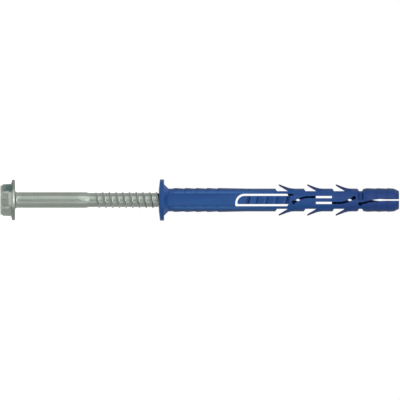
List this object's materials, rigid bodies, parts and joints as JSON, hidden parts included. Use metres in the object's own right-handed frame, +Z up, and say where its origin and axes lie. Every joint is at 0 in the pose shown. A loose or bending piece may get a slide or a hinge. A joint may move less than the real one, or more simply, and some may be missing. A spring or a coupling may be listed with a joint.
{
  "type": "frame fixing",
  "caption": "Long steel screw with a hexagon flange head, supplied part-way into a collared nylon plug with ratchet rings, a sprung window tongue, curved slots and barbed fins.",
  "frame": {"origin": "on the common axis, in the plane of the collar's underside, which bears on the work", "axes": "+Z up along the axis, from the screw's head, on which the fixing stands, to the plug's open end; +Y away from the viewer of the picture; the fins and two of the hexagon's corners lie along X"},
  "size_m": [0.018, 0.018, 0.1741],
  "materials": {
    "blue_nylon": "moulded satin nylon",
    "zinc_plated_steel": "bright zinc plate over cold-forged steel"
  },
  "bodies": {
    "plug": {"plug": "blue_nylon"},
    "screw": {"flange_screw": "zinc_plated_steel"}
  },
  "joints": [
    {"name": "screw_slide", "type": "slide", "parent": "plug", "child": "screw", "axis": [0, 0, 1], "range_m": [-0.025, 0.01]}
  ]
}
